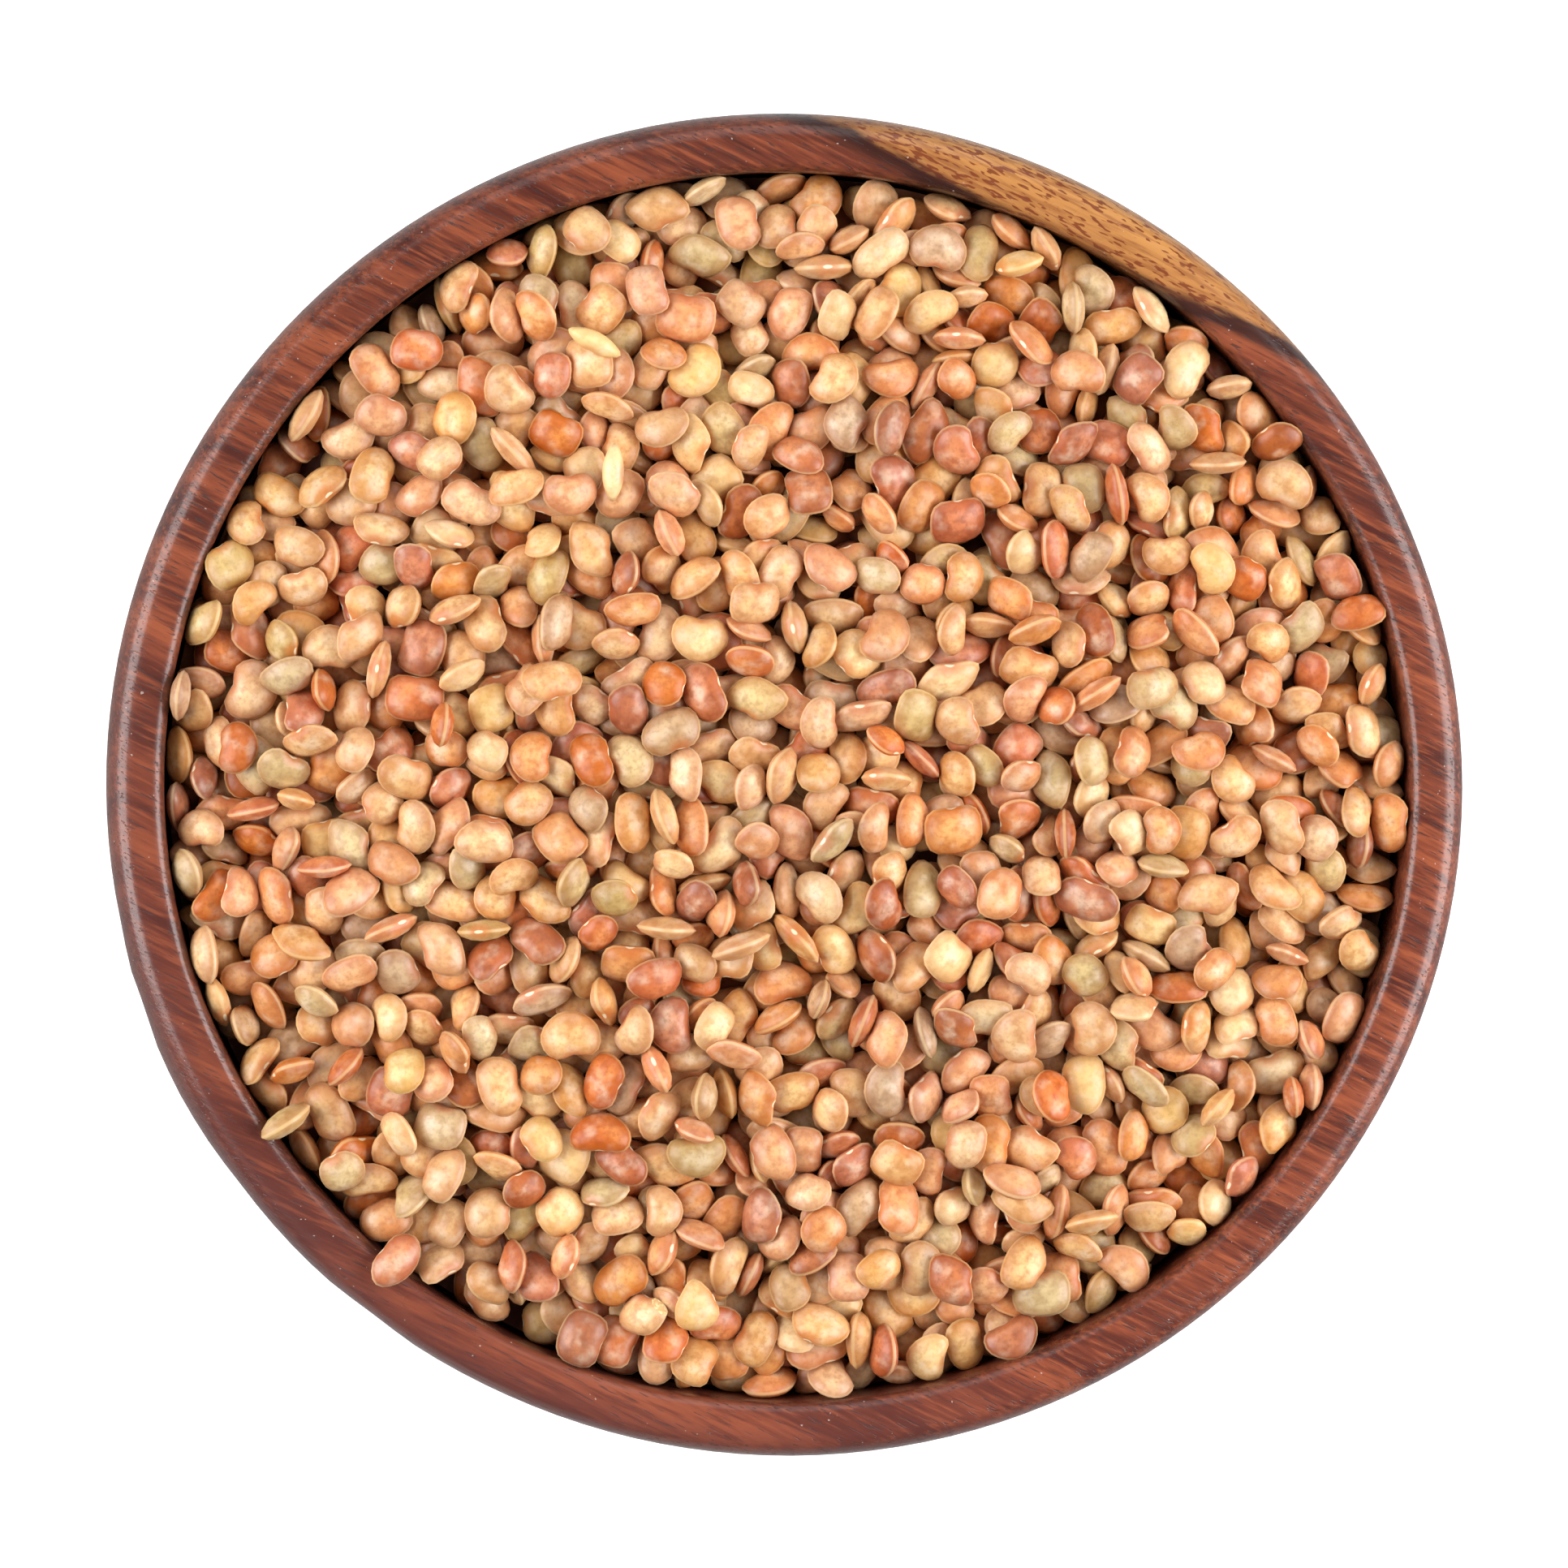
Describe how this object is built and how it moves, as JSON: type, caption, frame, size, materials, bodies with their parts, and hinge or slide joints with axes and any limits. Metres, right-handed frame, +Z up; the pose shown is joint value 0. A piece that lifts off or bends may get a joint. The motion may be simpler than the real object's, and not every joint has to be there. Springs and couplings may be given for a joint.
{
  "type": "bowl of horse gram",
  "caption": "Small round turned hardwood bowl, heaped with dry horse gram: small flat lens-shaped seeds in tan, russet and olive.",
  "frame": {"origin": "centre of the flat foot that the bowl stands on", "axes": "+Z up out of the bowl; the bowl is a figure of revolution about Z, a little oval"},
  "size_m": [0.1278, 0.1262, 0.0529],
  "materials": {
    "bowl_wood": "dark reddish-brown heartwood, oiled and polished to a satin sheen, with dark streaks and a patch of golden sapwood on the rim",
    "gram_seeds": "dry matt seed coats, mostly tan and beige, with orange, russet, olive and grey-brown seeds among them"
  },
  "bodies": {
    "root": {"bowl": "bowl_wood", "horse_gram": "gram_seeds"}
  },
  "joints": []
}
